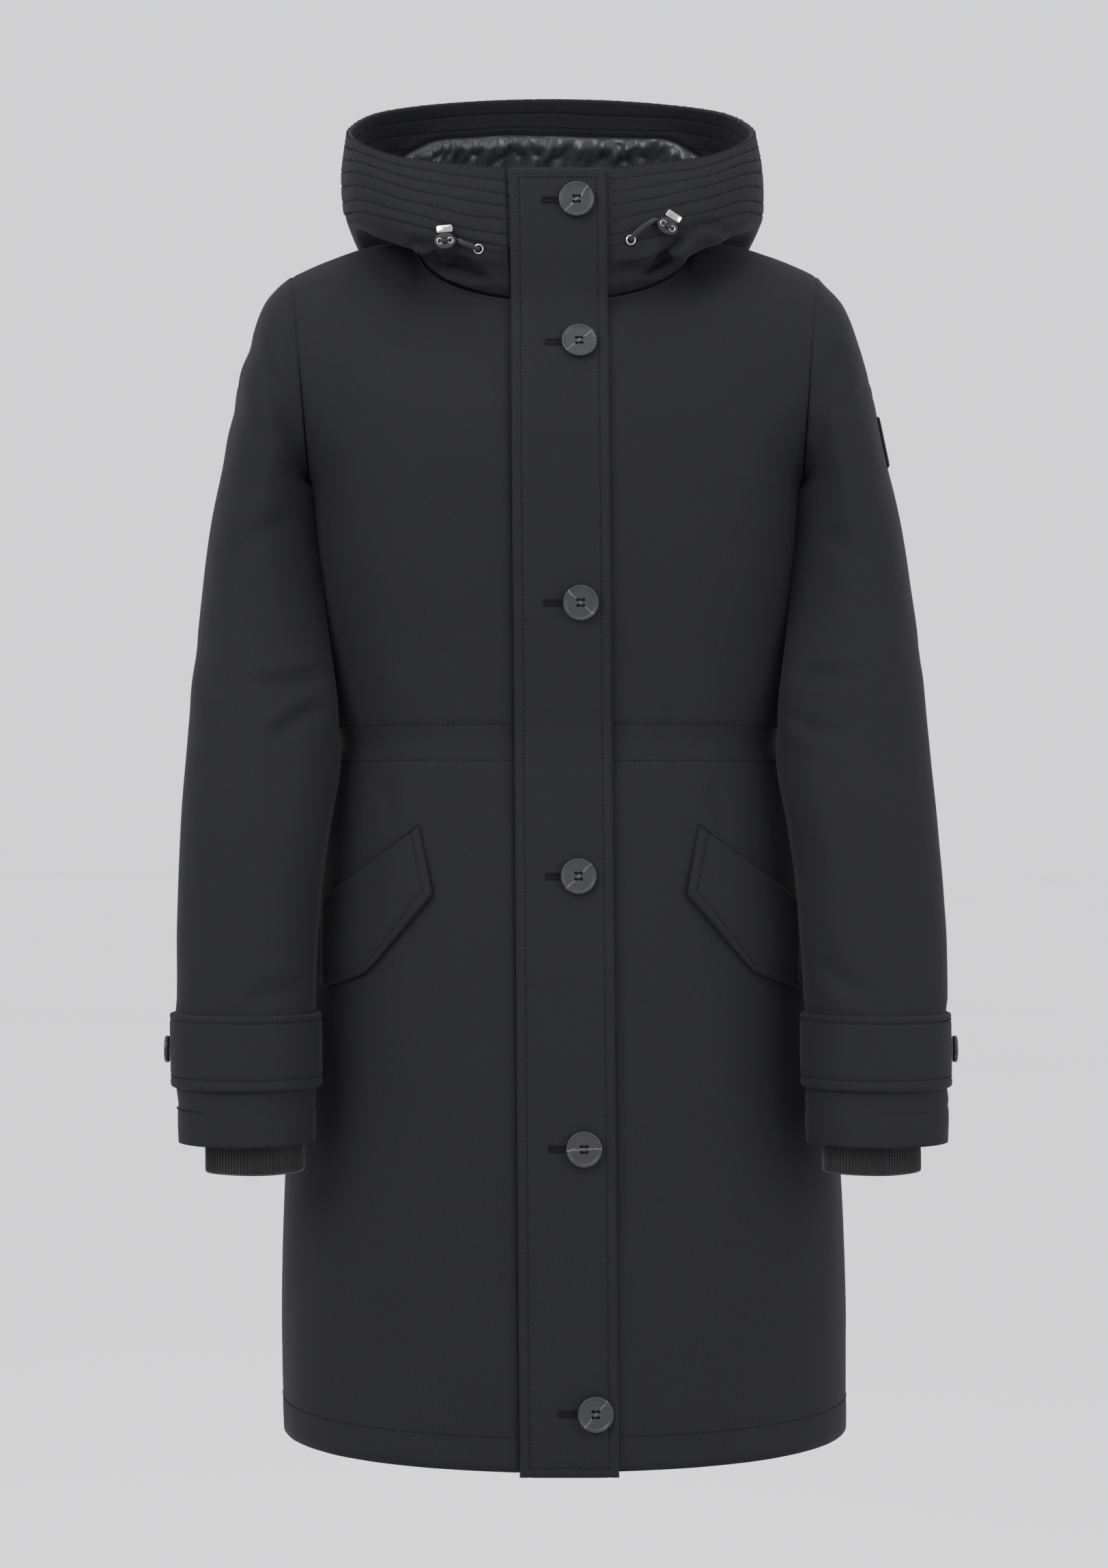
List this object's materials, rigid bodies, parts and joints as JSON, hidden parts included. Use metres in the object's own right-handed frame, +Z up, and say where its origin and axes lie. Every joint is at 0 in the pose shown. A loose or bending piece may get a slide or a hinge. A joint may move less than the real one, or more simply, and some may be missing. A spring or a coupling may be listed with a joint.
{
  "type": "hooded parka",
  "caption": "Dark women's parka with a quilted stand-up hood, a buttoned placket, slanted pocket flaps and strapped cuffs, in its worn shape.",
  "frame": {"origin": "middle of the neck at the height of the shoulders, where the wearer's shoulders carry the coat", "axes": "+Z up, -Y the front of the garment, +X the wearer's left"},
  "size_m": [0.5623, 0.3373, 1.0188],
  "materials": {
    "shell_fabric": "matte",
    "lining_nylon": "satin",
    "rib_knit": "matte",
    "button": "semi-gloss",
    "cord": "matte",
    "cord_lock": "satin",
    "metal": "polished"
  },
  "bodies": {
    "root": {"front_right": "shell_fabric", "front_left": "shell_fabric", "back": "shell_fabric", "sleeve_right": "shell_fabric", "sleeve_left": "shell_fabric", "hood": "shell_fabric", "placket": "shell_fabric", "pocket_flap_right": "shell_fabric", "pocket_flap_left": "shell_fabric", "cuff_strap_right": "shell_fabric", "cuff_strap_left": "shell_fabric", "sleeve_patch": "shell_fabric", "hood_lining": "lining_nylon", "rib_cuff_right": "rib_knit", "rib_cuff_left": "rib_knit", "button_1": "button", "button_2": "button", "button_3": "button", "button_4": "button", "button_5": "button", "button_6": "button", "cuff_button_right": "button", "cuff_button_left": "button", "eyelet_right": "metal", "eyelet_left": "metal", "lock_plate_right": "metal", "lock_plate_left": "metal", "cord_right": "cord", "cord_left": "cord", "cord_lock_right": "cord_lock", "cord_lock_left": "cord_lock"}
  },
  "joints": []
}
